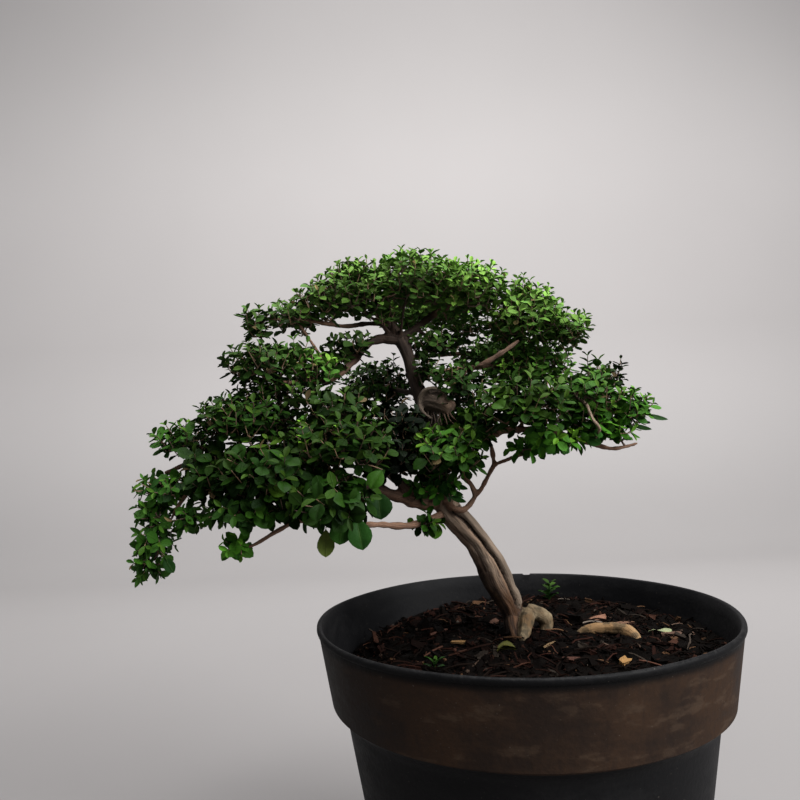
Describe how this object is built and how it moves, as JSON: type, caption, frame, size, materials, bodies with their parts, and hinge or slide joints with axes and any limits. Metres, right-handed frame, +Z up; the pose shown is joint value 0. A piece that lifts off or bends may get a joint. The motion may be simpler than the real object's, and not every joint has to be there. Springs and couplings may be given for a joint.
{
  "type": "premna bonsai in a round nursery pot",
  "caption": "Small leaning premna bonsai with layered pads of small leaves, surface roots and bark mix, in a tapered black plastic nursery pot.",
  "frame": {"origin": "centre of the flat underside of the pot's base, where it rests", "axes": "+Z up; +Y away from the viewer of the picture; +X to the viewer's right; the tree leans to -X"},
  "size_m": [0.3547, 0.2496, 0.4351],
  "materials": {
    "pot": "matte, dusty, soil-stained on the collar",
    "soil": "dark damp bark mix",
    "wood": "ridged grey-brown bark, paler on the roots",
    "leaf": "semi-gloss leaf",
    "weed": "soft leaf",
    "dry_leaf": "dry leaf"
  },
  "bodies": {
    "root": {"pot": "pot", "soil": "soil", "tree_wood": "wood", "leaf_crown_left": "leaf", "leaf_crown_rise": "leaf", "leaf_crown_top": "leaf", "leaf_crown_high": "leaf", "leaf_crown_shoulder": "leaf", "leaf_crown_edge": "leaf", "leaf_crown_back": "leaf", "leaf_left_top": "leaf", "leaf_left_mid": "leaf", "leaf_left_run": "leaf", "leaf_left_inner": "leaf", "leaf_mid_back": "leaf", "leaf_mid_inner": "leaf", "leaf_mid_front": "leaf", "leaf_mid_right": "leaf", "leaf_back_upper": "leaf", "leaf_right_front": "leaf", "leaf_right_mid": "leaf", "leaf_right_shoot": "leaf", "leaf_right_tip": "leaf", "leaf_right_under": "leaf", "leaf_right_tail": "leaf", "leaf_centre_right": "leaf", "leaf_centre_deep": "leaf", "leaf_centre_front": "leaf", "leaf_low_front": "leaf", "leaf_deep_low": "leaf", "leaf_left_front": "leaf", "leaf_left_high": "leaf", "leaf_left_far": "leaf", "leaf_left_tail": "leaf", "leaf_left_drop": "leaf", "leaf_left_under": "leaf", "leaf_front_tip": "leaf", "leaf_front_knot": "leaf", "leaf_back_left": "leaf", "leaf_back_right": "leaf", "weed": "weed", "sprout": "weed", "fallen_leaf": "dry_leaf", "pale_leaf": "dry_leaf"}
  },
  "joints": []
}
